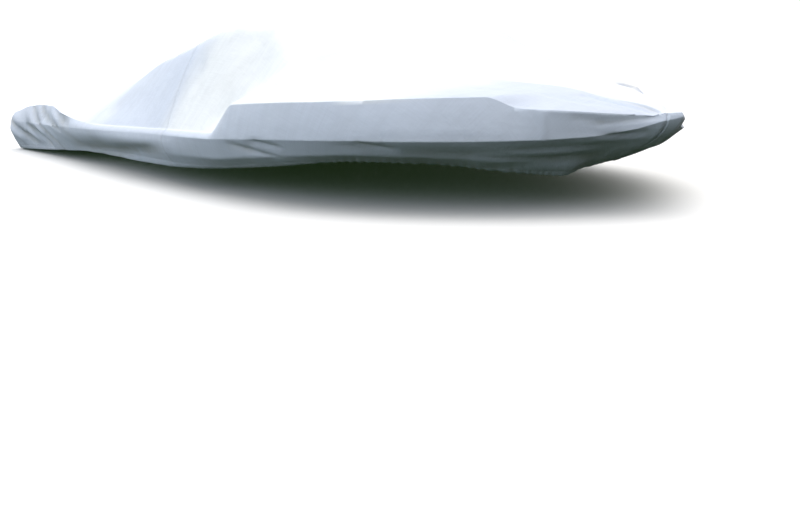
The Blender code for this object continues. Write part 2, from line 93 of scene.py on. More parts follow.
# Edge of the cover, one row per section round half the gunwale from the
# transom centre to the nose.  crease = outer gunwale line, tuck = line where
# the skirt turns under, hem = lower edge.  (forward, out, up) for each, m.
SECTIONS = (
    # crease, tuck, hem
    (0.0, 0.0, 0.232,  0.0, 0.0, 0.12,  0.03, 0.0, 0.02),
    (0.0, 0.55, 0.222,  0.0, 0.55, 0.115,  0.03, 0.545, 0.014),
    (0.0, 0.93, 0.21,  0.0, 0.93, 0.102,  0.032, 0.9, 0.004),
    (0.006, 1.035, 0.206,  0.008, 1.03, 0.098,  0.042, 1.0, 0.001),
    (0.038, 1.088, 0.206,  0.036, 1.088, 0.098,  0.072, 1.05, 0.0),
    (0.11, 1.104, 0.206,  0.11, 1.102, 0.1,  0.14, 1.064, 0.003),
    (0.45, 1.1, 0.207,  0.45, 1.082, 0.108,  0.45, 1.054, 0.017),
    (0.9, 1.094, 0.21,  0.9, 1.06, 0.122,  0.9, 1.04, 0.038),
    (1.62, 1.09, 0.218,  1.62, 1.06, 0.14,  1.62, 1.012, 0.07),
    (2.24, 1.085, 0.228,  2.24, 1.052, 0.151,  2.24, 1.006, 0.08),
    (3.0, 1.066, 0.243,  3.0, 1.05, 0.16,  3.0, 1.006, 0.092),
    (3.45, 1.04, 0.246,  3.44, 1.01, 0.16,  3.43, 0.942, 0.11),
    (3.8, 0.998, 0.257,  3.78, 0.966, 0.184,  3.76, 0.9, 0.138),
    (4.08, 0.925, 0.264,  4.055, 0.894, 0.203,  4.01, 0.84, 0.166),
    (4.3, 0.82, 0.266,  4.266, 0.788, 0.212,  4.2, 0.744, 0.182),
    (4.47, 0.705, 0.266,  4.42, 0.655, 0.206,  4.345, 0.602, 0.179),
    (4.63, 0.56, 0.266,  4.57, 0.503, 0.2,  4.48, 0.442, 0.169),
    (4.765, 0.405, 0.268,  4.69, 0.352, 0.198,  4.592, 0.292, 0.157),
    (4.875, 0.244, 0.277,  4.785, 0.205, 0.206,  4.675, 0.175, 0.149),
    (4.955, 0.124, 0.298,  4.865, 0.1, 0.222,  4.72, 0.09, 0.154),
    (5.02, 0.05, 0.325,  4.935, 0.038, 0.242,  4.738, 0.04, 0.163),
    (5.052, 0.0, 0.336,  4.955, 0.0, 0.248,  4.742, 0.0, 0.166),
)

# Upper edge of the near-vertical side, one row per place along the boat:
# how far it stands inside the gunwale crease and above it, each side.
RIDGE = (
    # forward, starboard inset, rise, port inset, rise
    (0.0, 0.028, 0.046, 0.028, 0.05), (0.2, 0.036, 0.068, 0.038, 0.076),
    (0.45, 0.046, 0.105, 0.046, 0.106), (0.9, 0.04, 0.123, 0.048, 0.124),
    (1.2, 0.032, 0.114, 0.046, 0.116), (1.42, 0.014, 0.084, 0.04, 0.078),
    (1.75, 0.026, 0.042, 0.032, 0.042), (2.1, 0.028, 0.03, 0.028, 0.03),
    (3.05, 0.028, 0.028, 0.028, 0.028), (3.52, 0.028, 0.032, 0.028, 0.036), (3.6, 0.03, 0.09, 0.03, 0.09),
    (3.68, 0.03, 0.136, 0.03, 0.134), (3.9, 0.026, 0.138, 0.032, 0.138), (4.1, 0.026, 0.138, 0.04, 0.14),
    (4.3, 0.03, 0.143, 0.084, 0.147), (4.5, 0.036, 0.149, 0.185, 0.147), (4.66, 0.036, 0.15, 0.23, 0.146),
    (4.73, 0.02, 0.114, 0.19, 0.13), (4.79, 0.002, 0.1, 0.14, 0.112), (4.87, -0.006, 0.082, 0.085, 0.092),
    (4.95, 0.002, 0.053, 0.04, 0.058), (5.02, 0.01, 0.022, 0.014, 0.022),
    (5.05, 0.008, 0.012, 0.008, 0.012),
)

# Height of the top across the boat: the shoulder (out, up), a middle
# break (out, up), the centre line (up) and how softly the cloth turns
# over the shoulder, one row per place along it.
CROWN = (
    # forward, shoulder out, up, middle out, up, centre up, turn
    (0.03, 0.85, 0.268, 0.5, 0.276, 0.28, 0.05), (0.2, 0.84, 0.326, 0.6, 0.405, 0.47, 0.06),
    (0.36, 0.84, 0.385, 0.62, 0.485, 0.61, 0.06), (1.0, 0.91, 0.352, 0.6, 0.488, 0.625, 0.05),
    (1.25, 0.9, 0.325, 0.57, 0.475, 0.631, 0.05), (1.46, 0.83, 0.352, 0.55, 0.48, 0.638, 0.04),
    (1.69, 0.76, 0.43, 0.52, 0.502, 0.648, 0.03), (2.0, 0.73, 0.52, 0.5, 0.562, 0.664, 0.03),
    (2.35, 0.76, 0.58, 0.53, 0.625, 0.688, 0.025), (2.62, 0.78, 0.606, 0.56, 0.66, 0.705, 0.02),
    (2.85, 0.8, 0.633, 0.6, 0.698, 0.726, 0.02), (2.97, 0.79, 0.664, 0.6, 0.72, 0.738, 0.02),
    (3.08, 0.745, 0.704, 0.57, 0.738, 0.748, 0.025), (3.2, 0.715, 0.724, 0.5, 0.748, 0.755, 0.035),
    (3.28, 0.69, 0.731, 0.45, 0.75, 0.757, 0.04), (3.45, 0.715, 0.662, 0.45, 0.7, 0.716, 0.05),
    (3.68, 0.72, 0.555, 0.45, 0.602, 0.63, 0.05), (3.85, 0.72, 0.49, 0.45, 0.543, 0.572, 0.05),
    (4.05, 0.68, 0.458, 0.42, 0.497, 0.52, 0.05), (4.25, 0.58, 0.448, 0.36, 0.472, 0.488, 0.05),
    (4.45, 0.42, 0.438, 0.26, 0.453, 0.46, 0.04), (4.6, 0.3, 0.428, 0.18, 0.438, 0.443, 0.03),
    (4.73, 0.2, 0.404, 0.1, 0.414, 0.419, 0.02), (4.85, 0.15, 0.38, 0.07, 0.391, 0.396, 0.015),
    (4.94, 0.08, 0.366, 0.04, 0.379, 0.385, 0.01), (5.01, 0.03, 0.352, 0.015, 0.358, 0.36, 0.008),
    (5.04, 0.01, 0.345, 0.005, 0.347, 0.348, 0.006),
)

# How far the windscreen hoop carries the middle of the cloth forward, how far
# the weave bows on top (aft is minus), how far it leans forward from crease
# to hem, how much the skirt bellies under the crease before it tucks in, and
# how hard it folds at the tuck line (0 round, 1 sharp).
SWEEP = (
    # forward, hoop, weave bow, lean of the skirt, belly, fold at the tuck
    (0.0, 0.0, 0.0, 0.0, 0.0, 0.0), (0.6, 0.0, 0.0, 0.18, 0.003, 0.0), (1.0, 0.0, 0.0, 0.28, 0.0, 0.0),
    (1.5, 0.0, 0.0, 0.2, 0.004, 0.0), (2.0, 0.0, -0.05, 0.14, 0.008, 0.0),
    (2.5, 0.0, -0.14, 0.06, 0.013, 0.0), (3.08, 0.02, -0.21, 0.0, 0.006, 0.3),
    (3.28, 0.14, -0.12, 0.01, 0.002, 0.7), (3.6, 0.13, 0.0, 0.04, 0.0, 0.9),
    (4.2, 0.05, 0.0, 0.02, 0.0, 0.9), (4.8, 0.02, 0.0, 0.0, 0.0, 0.6), (4.95, 0.008, 0.0, 0.006, 0.0, 0.2),
    (5.02, 0.002, 0.0, 0.028, 0.0, 0.0), (5.05, 0.0, 0.0, 0.0, 0.0, 0.0),
)

# The forward skirt is pulled lower on starboard than on port.
SLACK = (
    # forward, starboard hem drop, starboard forward, port hem lift
    (0.0, 0.0, 0.0, 0.0), (4.2, 0.0, 0.0, 0.0), (4.55, 0.008, 0.01, 0.01), (4.72, 0.022, 0.03, 0.03),
    (4.86, 0.026, 0.03, 0.03), (4.93, 0.003, 0.014, 0.026), (5.02, 0.0, 0.0, 0.0), (5.05, 0.0, 0.0, 0.0),
)

# Folds of the skirt and quarters: start and end as (along the gunwale, up),
# half width, height (minus is a valley).  On the transom "along" is out to port.
STARBOARD_FOLDS = (
    # along, up, along, up, width, height
    (0.06, 0.212, 0.34, 0.14, 0.03, -0.014), (0.26, 0.165, 0.66, 0.082, 0.026, -0.018),
    (0.02, 0.16, 0.4, 0.072, 0.034, 0.012), (0.12, 0.245, 0.56, 0.165, 0.04, 0.016),
    (0.5, 0.165, 0.84, 0.085, 0.028, 0.012), (0.56, 0.2, 1.02, 0.074, 0.024, -0.014),
    (0.5, 0.29, 0.94, 0.14, 0.028, 0.012), (0.62, 0.318, 1.2, 0.084, 0.026, -0.016),
    (0.78, 0.335, 1.24, 0.11, 0.026, 0.012), (0.84, 0.328, 1.4, 0.19, 0.022, -0.012),
    (1.22, 0.335, 1.62, 0.22, 0.034, -0.012), (1.1, 0.345, 1.38, 0.25, 0.03, 0.009),
    (1.42, 0.2, 1.8, 0.09, 0.032, -0.005), (1.95, 0.165, 2.35, 0.1, 0.04, -0.005),
    (2.3, 0.118, 3.1, 0.186, 0.028, -0.01), (1.46, 0.09, 2.56, 0.108, 0.034, -0.01),
    (3.64, 0.226, 4.02, 0.206, 0.02, -0.005), (3.8, 0.252, 4.0, 0.236, 0.014, -0.004),
    (4.22, 0.25, 4.44, 0.236, 0.016, -0.004), (4.44, 0.225, 4.8, 0.2, 0.02, -0.005),
    (4.62, 0.19, 4.9, 0.16, 0.022, 0.006), (4.66, 0.168, 4.94, 0.206, 0.018, -0.008),
    (4.84, 0.262, 5.0, 0.262, 0.014, 0.004),
)
PORT_FOLDS = (
    (0.08, 0.215, 0.52, 0.07, 0.034, -0.011), (0.3, 0.3, 0.8, 0.11, 0.034, 0.01),
    (0.52, 0.31, 1.02, 0.08, 0.03, -0.01), (0.9, 0.33, 1.3, 0.13, 0.032, 0.008),
    (1.12, 0.33, 1.52, 0.18, 0.03, -0.01), (1.9, 0.2, 2.3, 0.095, 0.045, -0.006),
    (2.6, 0.19, 3.05, 0.13, 0.035, -0.005), (3.7, 0.236, 4.05, 0.2, 0.024, -0.005),
    (4.3, 0.25, 4.56, 0.205, 0.022, -0.005), (4.62, 0.24, 4.9, 0.19, 0.026, 0.006),
)
TRANSOM_FOLDS = (
    (-0.8, 0.21, -0.52, 0.04, 0.04, -0.011), (-0.42, 0.225, -0.22, 0.05, 0.045, 0.009),
    (0.02, 0.22, 0.1, 0.04, 0.05, -0.009), (0.36, 0.22, 0.26, 0.045, 0.04, 0.01),
    (0.78, 0.215, 0.56, 0.035, 0.042, -0.012),
)

# Folds and hollows of the top: start and end (forward, out to port).
TOP_FOLDS = (
    # forward, out, forward, out, width, height
    (4.3, -0.3, 4.74, -0.19, 0.03, 0.004), (4.74, -0.158, 4.99, -0.062, 0.014, -0.013),
    (4.62, -0.33, 4.95, -0.11, 0.018, -0.005), (3.42, -0.98, 3.56, -0.9, 0.055, -0.014),
    (3.24, -0.66, 3.72, -0.88, 0.11, -0.034), (3.16, -0.78, 3.44, -0.7, 0.03, -0.004),
    (3.04, -0.84, 3.16, -0.9, 0.03, -0.008), (0.34, -0.62, 1.3, -0.96, 0.08, -0.012),
    (0.34, 0.62, 1.35, 0.94, 0.08, -0.014), (0.45, -0.3, 3.0, -0.42, 0.14, -0.01),
    (0.45, 0.34, 2.9, 0.36, 0.16, -0.013), (2.0, -0.95, 2.96, -0.98, 0.07, -0.008),
    (2.0, -0.74, 2.92, -0.79, 0.035, 0.005), (3.44, 0.96, 3.6, 0.88, 0.055, -0.014),
    (3.5, -0.2, 4.4, -0.1, 0.12, -0.006), (3.5, 0.3, 4.45, 0.12, 0.12, -0.008),
    (4.62, 0.3, 4.95, 0.09, 0.022, -0.006), (0.1, -0.5, 0.36, -0.4, 0.06, -0.01),
    (0.1, 0.36, 0.38, 0.3, 0.07, -0.012),
)

CORNER, NOSE = 4, 20                      # sections at the corners of the top
QUARTER_SEAM, CROSS_SEAM = 1.0, 3.08      # where the panels meet, forward
FIT_LIMIT = 0.015                         # how far the drape may stand off the frame's box
SHARP_ANGLE = math.radians(84)            # edges bent more than this are shaded sharp
SAG_DEPTH = 0.008                         # depth of fold at which dust and painted shade are thickest
LAP_MIDDLE, HEM_MIDDLE, WORN_WIDTH = 0.007, 0.03, 0.016       # where stitching rubs the cloth
MASKS = ("sag", "wear", "bleach_and_light")         # attributes of the cloth that its finish reads: fold depth for dust with painted shade, wear, sun fading with painted light
TINY = 1e-12

# Heights of the uneven small folds, and of the gathers, lip and dip at the bow seam.
TOP_WAVES, WALL_WAVES, SKIRT_WAVES = (0.0032, 0.0013), 0.0009, (0.003, 0.0012)
GATHERS, BOW_LIP, BOW_DIP, BOW_SUNK = 0.0024, 0.002, 0.0035, 0.008

# Spacing of the cloth grid along the side: place forward, spacing.
SPACING = (
    (0.0, 0.0095), (1.2, 0.011), (1.6, 0.015), (2.6, 0.015), (3.0, 0.0125), (3.6, 0.0118), (3.85, 0.0095),
    (4.6, 0.009), (5.05, 0.0085),
)

# Lapped seam: distance forward of the seam line and height of the lap.
LAP = (
    (0.0, 0.001), (0.0012, 0.0015), (0.003, 0.001), (0.0048, 0.0015), (0.0085, 0.0016), (0.0108, 0.001),
    (0.0128, 0.0014), (0.0142, 0.001), (0.0158, 0.0),
)
LAP_STITCHES = (2, 5)                     # rows of LAP that carry a row of stitches

# Hem: cloth turned up inside over an elastic cord.  Height above the lower
# edge and how far it stands out, going down outside and back up inside.
HEM_OUTSIDE = (
    (0.04, 0.0), (0.035, -0.0002), (0.0315, -0.0006), (0.0295, -0.0009), (0.0275, -0.0004),
    (0.0245, 0.0005), (0.02, 0.001), (0.0145, 0.0012), (0.0085, 0.001), (0.004, 0.0002), (0.001, -0.0012),
)
HEM_INSIDE = (
    (0.0, -0.0016), (0.0016, -0.0036), (0.006, -0.0054), (0.0145, -0.0062), (0.022, -0.0054),
    (0.0275, -0.0036), (0.034, -0.0034), (0.039, -0.0034),
)

# Small folds and pulls of the starboard side: darts, slack along the gunwale,
# folds running to the bow seam.  Then those of the top.  Columns as above.
FINE_FOLDS = (
    (3.84, 0.256, 4.01, 0.23, 0.006, -0.006), (3.66, 0.24, 3.99, 0.192, 0.007, -0.006),
    (3.82, 0.228, 3.99, 0.205, 0.008, 0.003), (4.3, 0.264, 4.43, 0.238, 0.006, -0.005),
    (4.3, 0.285, 4.72, 0.285, 0.005, 0.0025), (4.3, 0.27, 4.72, 0.27, 0.004, -0.002),
    (4.385, 0.294, 4.4, 0.246, 0.006, -0.003), (4.6, 0.29, 4.63, 0.262, 0.008, -0.002),
    (4.784, 0.384, 4.784, 0.256, 0.016, 0.0035), (4.83, 0.346, 4.91, 0.318, 0.009, -0.004),
    (4.88, 0.322, 5.02, 0.336, 0.007, -0.0045), (4.88, 0.281, 5.0, 0.284, 0.006, -0.0045),
    (4.88, 0.264, 5.0, 0.27, 0.007, 0.004), (4.7, 0.232, 4.92, 0.246, 0.008, -0.0035),
    (4.62, 0.216, 4.88, 0.224, 0.007, 0.003), (4.66, 0.2, 4.86, 0.204, 0.006, -0.004),
    (0.08, 0.222, 0.6, 0.056, 0.01, -0.0045), (0.1, 0.245, 0.56, 0.1, 0.01, 0.0035),
    (0.52, 0.215, 0.86, 0.055, 0.009, -0.0045), (0.5, 0.315, 0.98, 0.062, 0.01, -0.006),
    (0.58, 0.318, 1.04, 0.08, 0.009, 0.004), (0.6, 0.322, 1.4, 0.18, 0.01, -0.005),
    (0.98, 0.322, 1.44, 0.15, 0.01, 0.0035), (1.16, 0.33, 1.52, 0.235, 0.011, -0.0045),
)
FINE_TOP_FOLDS = (
    (4.72, -0.116, 5.03, -0.034, 0.008, -0.007), (4.73, -0.27, 4.9, -0.175, 0.012, -0.003),
    (4.6, -0.34, 4.86, -0.215, 0.014, 0.003), (4.44, -0.42, 4.72, -0.3, 0.02, -0.003),
)
HEM_STITCHES = 3                          # row of HEM_OUTSIDE that carries the stitches
ACROSS = 56                               # columns over half the top

# Rings of the side, as fractions of the way down from its upper edge to the
# gunwale crease: along the rails, and at the bow where the edge is rounder.
SIDE_STEPS = (
    (0.03, 0.1), (0.14, 0.24), (0.32, 0.4), (0.5, 0.58), (0.68, 0.72), (0.86, 0.86), (0.965, 0.965),
)
SIDE_RINGS, SKIRT_RINGS = len(SIDE_STEPS) + 1, 15
TOP_DROP = -0.99                          # points of the top have a drop below this
SIDE_BULGE = 0.7                          # how round the side is seen from above
STITCHED_RING = SIDE_RINGS + SKIRT_RINGS + HEM_STITCHES


def smoothstep(a, b, x):
    k = np.clip((x - a) / (b - a), 0, 1)
    return k * k * (3 - 2 * k)


def unit(v):
    return v / np.maximum(np.linalg.norm(v, axis=-1, keepdims=True), TINY)


def rough(a, b, seed):
    """Smooth random heights from -1 to 1 over the plane (a, b)."""
    i, j = np.floor(a), np.floor(b)
    f, g = a - i, b - j
    f, g = f * f * (3 - 2 * f), g * g * (3 - 2 * g)

    def value(p, q):
        s = np.sin(p * 127.1 + q * 311.7 + seed * 74.7) * 43758.5453
        return 2 * (s - np.floor(s)) - 1
    low = value(i, j) * (1 - f) + value(i + 1, j) * f
    high = value(i, j + 1) * (1 - f) + value(i + 1, j + 1) * f
    return low * (1 - g) + high * g


def smooth(xs, ys, q):
    """Monotone cubic through a short table."""
    x, y = np.asarray(xs, float), np.asarray(ys, float)
    q = np.clip(np.asarray(q, float), x[0], x[-1])
    h = np.diff(x)
    d = np.diff(y) / h
    m = np.concatenate(([d[0]], np.zeros(len(x) - 2), [d[-1]]))
    for i in range(1, len(x) - 1):
        if d[i - 1] * d[i] > 0:
            a, b = 2 * h[i] + h[i - 1], h[i] + 2 * h[i - 1]
            m[i] = (a + b) / (a / d[i - 1] + b / d[i])
    k = np.clip(np.searchsorted(x, q, side="right") - 1, 0, len(h) - 1)
    t = (q - x[k]) / h[k]
    return ((2 * t**3 - 3 * t**2 + 1) * y[k] + (t**3 - 2 * t**2 + t) * h[k] * m[k]
            + (3 * t**2 - 2 * t**3) * y[k + 1] + (t**3 - t**2) * h[k] * m[k + 1])


def column(table, c, q):
    return smooth([r[0] for r in table], [r[c] for r in table], q)


def bend(x, width):
    """0 below x = 0 and x above it, with a round turn."""
    return 0.5 * (x + np.sqrt(x * x + width * width))


ROWS = np.array(SECTIONS)
STATION = np.concatenate(([0.0], np.cumsum(np.hypot(np.diff(ROWS[:, 0]), np.diff(ROWS[:, 1])))))
AT_CORNER, AT_NOSE, END = STATION[CORNER], STATION[NOSE], STATION[-1]


def edge_line(t, group):
    """Crease (0), tuck (1) or hem (2) line at station t, out taken as positive."""
    return np.stack([smooth(STATION, ROWS[:, 3 * group + k], t) for k in range(3)], -1)


def forward_of(t):
    """How far forward the crease is at station t."""
    return edge_line(t, 0)[:, 0]


def ridge_line(t, side):
    """Upper edge of the side at station t on one side of the boat."""
    p = edge_line(t, 0)
    d = edge_line(np.minimum(t + 0.004, END), 0) - edge_line(np.maximum(t - 0.004, 0), 0)
    n = unit(np.stack([d[:, 1], -d[:, 0]], -1))
    c = 1 if side < 0 else 3
    q = p[:, :2] + n * column(RIDGE, c, p[:, 0])[:, None]
    return np.column_stack([q[:, 0], np.maximum(q[:, 1], 0.0), p[:, 2] + column(RIDGE, c + 1, p[:, 0])])


SIDE_T = np.linspace(AT_CORNER, AT_NOSE, 600)
SIDE_FORWARD = forward_of(SIDE_T)
SIDE_LINE = {s: ridge_line(SIDE_T, s) for s in (-1, 1)}
SEAM_LINES = [float(np.interp(s, SIDE_FORWARD, SIDE_T)) for s in (QUARTER_SEAM, CROSS_SEAM)]


def crown(x, y):
    """Height of the draped top at a place forward x, out y (port is plus)."""
    a = np.sqrt(y * y + 0.05**2)
    port = np.clip(0.5 + y / 0.1, 0, 1)

    def edge(s, k):
        st, po = [np.interp(s, SIDE_LINE[g][:, 0], SIDE_LINE[g][:, k]) for g in (-1, 1)]
        return st + (po - st) * port
    s = x + 0.0
    for _ in range(4):
        f = np.clip(a / np.maximum(edge(s, 1), 0.02), 0, 1)
        s = x - column(SWEEP, 1, s) * (1 - f**2)
    yr, zr = edge(s, 1), edge(s, 2)
    ys, zs, ym, zm, zc, w = [column(CROWN, c, s) for c in range(1, 7)]
    ys = np.minimum(ys, yr - 0.03)
    ym = np.minimum(ym, ys - 0.03)
    g0 = (zm - zc) / np.maximum(ym, 0.01)
    g1 = (zs - zm) / np.maximum(ys - ym, 0.01)
    g2 = (zr - zs) / np.maximum(yr - ys, 0.02)
    return zc + g0 * a + (g1 - g0) * bend(a - ym, 1.5 * w) + (g2 - g1) * bend(a - ys, w)


def skirt(t, side, v):
    """Skirt point: v = 0 at the crease, 1 at the hem; side per station."""
    s, v = forward_of(t), np.broadcast_to(v, t.shape)
    u = t + column(SWEEP, 3, s) * v * (t > AT_CORNER) * np.clip((t - AT_CORNER) / 0.5, 0, 1)
    a, b, c = [edge_line(u, g) for g in range(3)]
    w, k = v[:, None], column(SWEEP, 5, s)[:, None]
    p = a * (1 - w) * (1 - 2 * w) + b * 4 * w * (1 - w) + c * w * (2 * w - 1)
    p += k * (a * np.maximum(1 - 2 * w, 0) + b * (1 - np.abs(2 * w - 1)) + c * np.maximum(2 * w - 1, 0) - p)
    low = v * v
    p[:, 0] += np.where(side < 0, column(SLACK, 2, s), 0) * low
    p[:, 2] += np.where(side < 0, -column(SLACK, 1, s), column(SLACK, 3, s)) * low
    p[:, 1] += column(SWEEP, 4, s) * np.sin(2 * np.pi * v)
    p[:, 1] *= side
    return p, u


def fold(px, py, line, width, height):
    """Height of a straight fold on the plane (px, py), dying out at both ends of its line."""
    ax, ay, bx, by = line
    dx, dy = bx - ax, by - ay
    k = np.clip(((px - ax) * dx + (py - ay) * dy) / (dx * dx + dy * dy), 0, 1)
    away = np.hypot(px - ax - k * dx, py - ay - k * dy)
    return height * (np.exp(-(away / width)**2) * np.clip(4 * k * (1 - k), 0, 1)**0.6)


def on_side(line):
    """A fold's line with its places forward turned into stations."""
    start, end = np.interp(line[::2], SIDE_FORWARD, SIDE_T)
    return start, line[1], end, line[3]


def inset_of(walk, out):
    """How far inside the upper edge of the side each point of the top lies."""
    return np.interp(walk, SIDE_T, SIDE_LINE[-1][:, 1]) - np.abs(out)


def normals(v, q):
    """Outward direction at each point of a mesh of quads."""
    c = unit(np.cross(v[q[:, 2]] - v[q[:, 0]], v[q[:, 3]] - v[q[:, 1]]))
    n = np.zeros_like(v)
    for k in range(4):
        np.add.at(n, q[:, k], c)
    return unit(n)


def wrinkle(v, q, walk, drop, which):
    """Lift and press the cloth along the rows of the fold tables."""
    n = normals(v, q)
    h = np.zeros(len(v))
    is_top = drop <= TOP_DROP
    near = np.where(is_top, np.exp(-(np.maximum(inset_of(walk, v[:, 1]), 0) / 0.12)**2), 1.0)
    transom = (walk < AT_CORNER) & ~is_top
    for side, table in ((-1, STARBOARD_FOLDS), (1, PORT_FOLDS)):
        for *line, width, height in table:
            h += np.where(which == side, fold(walk, v[:, 2], on_side(line), width, height * near), 0)
    for *line, width, height in TRANSOM_FOLDS:
        h += np.where(transom, fold(which * walk, v[:, 2], line, width, height), 0)
    crest = np.clip(-drop * 2, 0, 1)
    for *line, width, height in TOP_FOLDS:
        h += fold(v[:, 0], v[:, 1], line, width, height * crest)
    return v + n * h[:, None], h


def side_stations():
    """Stations along the side, with the rows of both laps put in."""
    t = [AT_CORNER]
    while t[-1] < AT_NOSE:
        t.append(t[-1] + float(column(SPACING, 1, forward_of(np.array(t[-1:]))[0])))
    t = np.array(t)
    t = t[0] + (t - t[0]) * (AT_NOSE - t[0]) / (t[-1] - t[0])
    for line in SEAM_LINES:
        t = t[(t < line - 0.004) | (t > line + 0.02)]
        t = np.sort(np.concatenate((t, line + np.array([r[0] for r in LAP]))))
    return t


def arc(points, axis):
    """Distance along rows of points."""
    step = np.linalg.norm(np.diff(points, axis=axis), axis=-1)
    return np.insert(np.cumsum(step, axis=axis), 0, 0.0, axis=axis)


def sheet_grid(side_t):
    """The whole cloth as one grid: the top, then rings down to the hem's edge.

    Gives each point's place, station, drop (-1 top, 0 crease, 1 hem), side, cloth
    coordinates, height over the hem and depth below the top, then how they join up.
    """
    n, m = len(side_t) - 1, 2 * ACROSS
    tt = np.linspace(AT_CORNER, 0, ACROSS + 1)      # transom, corner to middle
    tr = ridge_line(tt, -1)
    f = tr[:, 1] / tr[0, 1]
    f[-1] = 0.0
    tn = np.linspace(AT_NOSE, END, 200)
    nr = ridge_line(tn, -1)
    nt = np.interp(f * nr[0, 1], nr[::-1, 1], tn[::-1])
    nx = np.interp(f * nr[0, 1], nr[::-1, 1], nr[::-1, 0]) - nr[0, 0]
    nt[0], nt[-1] = AT_NOSE, END
    halves = []
    for side in (-1, 1):
        e = ridge_line(side_t, side)
        x = (e[:, :1] + (tr[:, 0] - tr[0, 0]) * np.exp(-(e[:, :1] - e[0, 0]) / 0.25)
             + nx * np.exp(-(e[-1, 0] - e[:, :1]) / 0.1) + column(SWEEP, 1, e[:, :1]) * (1 - f**2)
             + column(SWEEP, 2, e[:, :1]) * (1 - f**6))
        halves.append((x, side * e[:, 1:2] * f))
    (xs, ys), (xp, yp) = halves
    x = np.concatenate((xs[:, :-1], 0.5 * (xs + xp)[:, -1:], xp[:, -2::-1]), 1)
    y = np.concatenate((ys[:, :-1], 0 * ys[:, -1:], yp[:, -2::-1]), 1)
    top = np.stack((x, y, crown(x, y)), -1)
    across = arc(top, 1)
    along = arc(top[:, ACROSS], 0)
    middle = slice(ACROSS, ACROSS + 1)
    uv = np.stack((along[:, None] + x - x[:, middle], across - across[:, middle]), -1)
    ids = np.arange((n + 1) * (m + 1)).reshape(n + 1, m + 1)
    rim = np.concatenate((ids[:-1, 0], ids[-1, :-1], ids[::-1, -1][:-1], ids[0, ::-1][:-1]))
    per = np.concatenate((side_t[:-1], nt[:-1], nt[::-1][:-1], side_t[::-1][:-1], tt[:-1], tt[::-1][:-1]))
    side = np.concatenate((-np.ones(n + ACROSS), np.ones(2 * ACROSS + n), -np.ones(ACROSS)))
    base, base_uv = top.reshape(-1, 3)[rim], uv.reshape(-1, 2)[rim]
    way = np.roll(base[:, :2], -1, 0) - np.roll(base[:, :2], 1, 0)
    outward = np.stack((way[:, 1], -way[:, 0]), -1) / np.linalg.norm(way, axis=1, keepdims=True)
    crease, _ = skirt(per, side, 0.0)
    edge, _ = skirt(per, side, 1.0)
    speed = np.linalg.norm(edge - skirt(per, side, 0.97)[0], axis=1) / 0.03
    bow = smoothstep(4.66, 4.86, forward_of(per))
    steps = [0.0, 0.18] + list(range(1, SKIRT_RINGS))
    levels = [(rail + (rounder - rail) * bow, None) for rail, rounder in SIDE_STEPS]
    levels += [(None, (1 - HEM_OUTSIDE[0][0] / speed) * k / steps[-1]) for k in steps]
    levels += [(None, 1 - row[0] / speed) for row in HEM_OUTSIDE[1:]]
    layers = [(top.reshape(-1, 3), np.repeat(side_t, m + 1), np.full(ids.size, -1.0),
               np.where(y.ravel() < 0, -1, 1), uv.reshape(-1, 2), np.ones(ids.size), np.zeros(ids.size))]
    rings, last, depth = [rim], base, 0.0
    for number, (up, v) in enumerate(levels):
        if v is None:
            u = up[:, None]
            p = base * (1 - u) + crease * u
            p[:, :2] += (crease - base)[:, :2] * SIDE_BULGE * u * (1 - u)
            w, v = per, -0.5 * (1 - up)
        else:
            p, w = skirt(per, side, v)
        depth = depth + np.linalg.norm(p - last, axis=1)
        last = p
        rings.append(ids.size + number * len(per) + np.arange(len(per)))
        layers.append((p, w + 0 * per, v + 0 * per, side, base_uv + outward * depth[:, None],
                       (1 - v) * speed, depth))
    return *(np.concatenate(values) for values in zip(*layers)), ids, rings, per


def strip_faces(rings):
    """Quads between closed rings, going down, facing out."""
    return [np.stack((b, np.roll(b, -1), np.roll(a, -1), a), -1) for a, b in zip(rings[:-1], rings[1:])]


def small_creases(v, walk, drop, which, above):
    """Height of the finer folds, and how much lower the top's edge lies at the rounded bow."""
    x, y = v[:, 0], v[:, 1]
    s, inset = np.interp(walk, SIDE_T, SIDE_FORWARD), inset_of(walk, y)
    is_top = drop <= TOP_DROP
    slack = smoothstep(0.0, 0.14, inset) * (1 - 0.8 * smoothstep(0.16, 0.02, np.abs(x - 3.2)))
    broad = TOP_WAVES[0] * rough(x * 2.3, y * 2.1, 1)
    broad += TOP_WAVES[1] * rough(x * 6.1 + y * 2.0, y * 5.2, 2)
    h = np.where(is_top, slack * broad, 0.0)
    blunt = smoothstep(4.1, 4.5, s) * smoothstep(4.82, 4.68, s) * (which < 0) * is_top
    wall = np.clip(1 - np.abs(drop + 0.25) / 0.25, 0, 1) * (drop < 0)
    h += WALL_WAVES * wall * rough(s * 17, drop * 2, 3)
    low = np.clip(drop, 0, 1)
    h += SKIRT_WAVES[0] * low**1.5 * rough(s * 6.5 - low * 0.7, low * 1.3 + 3 * which, 4)
    h += SKIRT_WAVES[1] * low * rough(s * 19 - low * 0.9, low * 1.5, 5)
    pull = 0.25 + 0.75 * smoothstep(4.05, 4.35, s) * smoothstep(5.0, 4.7, s) + 0.5 * smoothstep(0.5, 0.1, s)
    wave = np.sin(2 * np.pi * (walk * 26 + 0.7 * rough(walk * 7, which, 6)))
    for *line, width, height in FINE_FOLDS:
        h += np.where((which < 0) & ~is_top, fold(walk, v[:, 2], on_side(line), width, height), 0)
    for *line, width, height in FINE_TOP_FOLDS:
        h += np.where(is_top, fold(x, y, line, width, height), 0)
    past = walk - AT_NOSE
    lip, dip = np.exp(-((past + 0.008) / 0.006)**2), np.exp(-((past - 0.005) / 0.005)**2)
    h += (drop > -0.45) * (which < 0) * (BOW_LIP * lip - BOW_DIP * dip)
    h += GATHERS * pull * wave * np.exp(-above / 0.04) * (drop > 0)
    return h, BOW_SUNK * blunt * np.exp(-(inset / 0.035)**2)


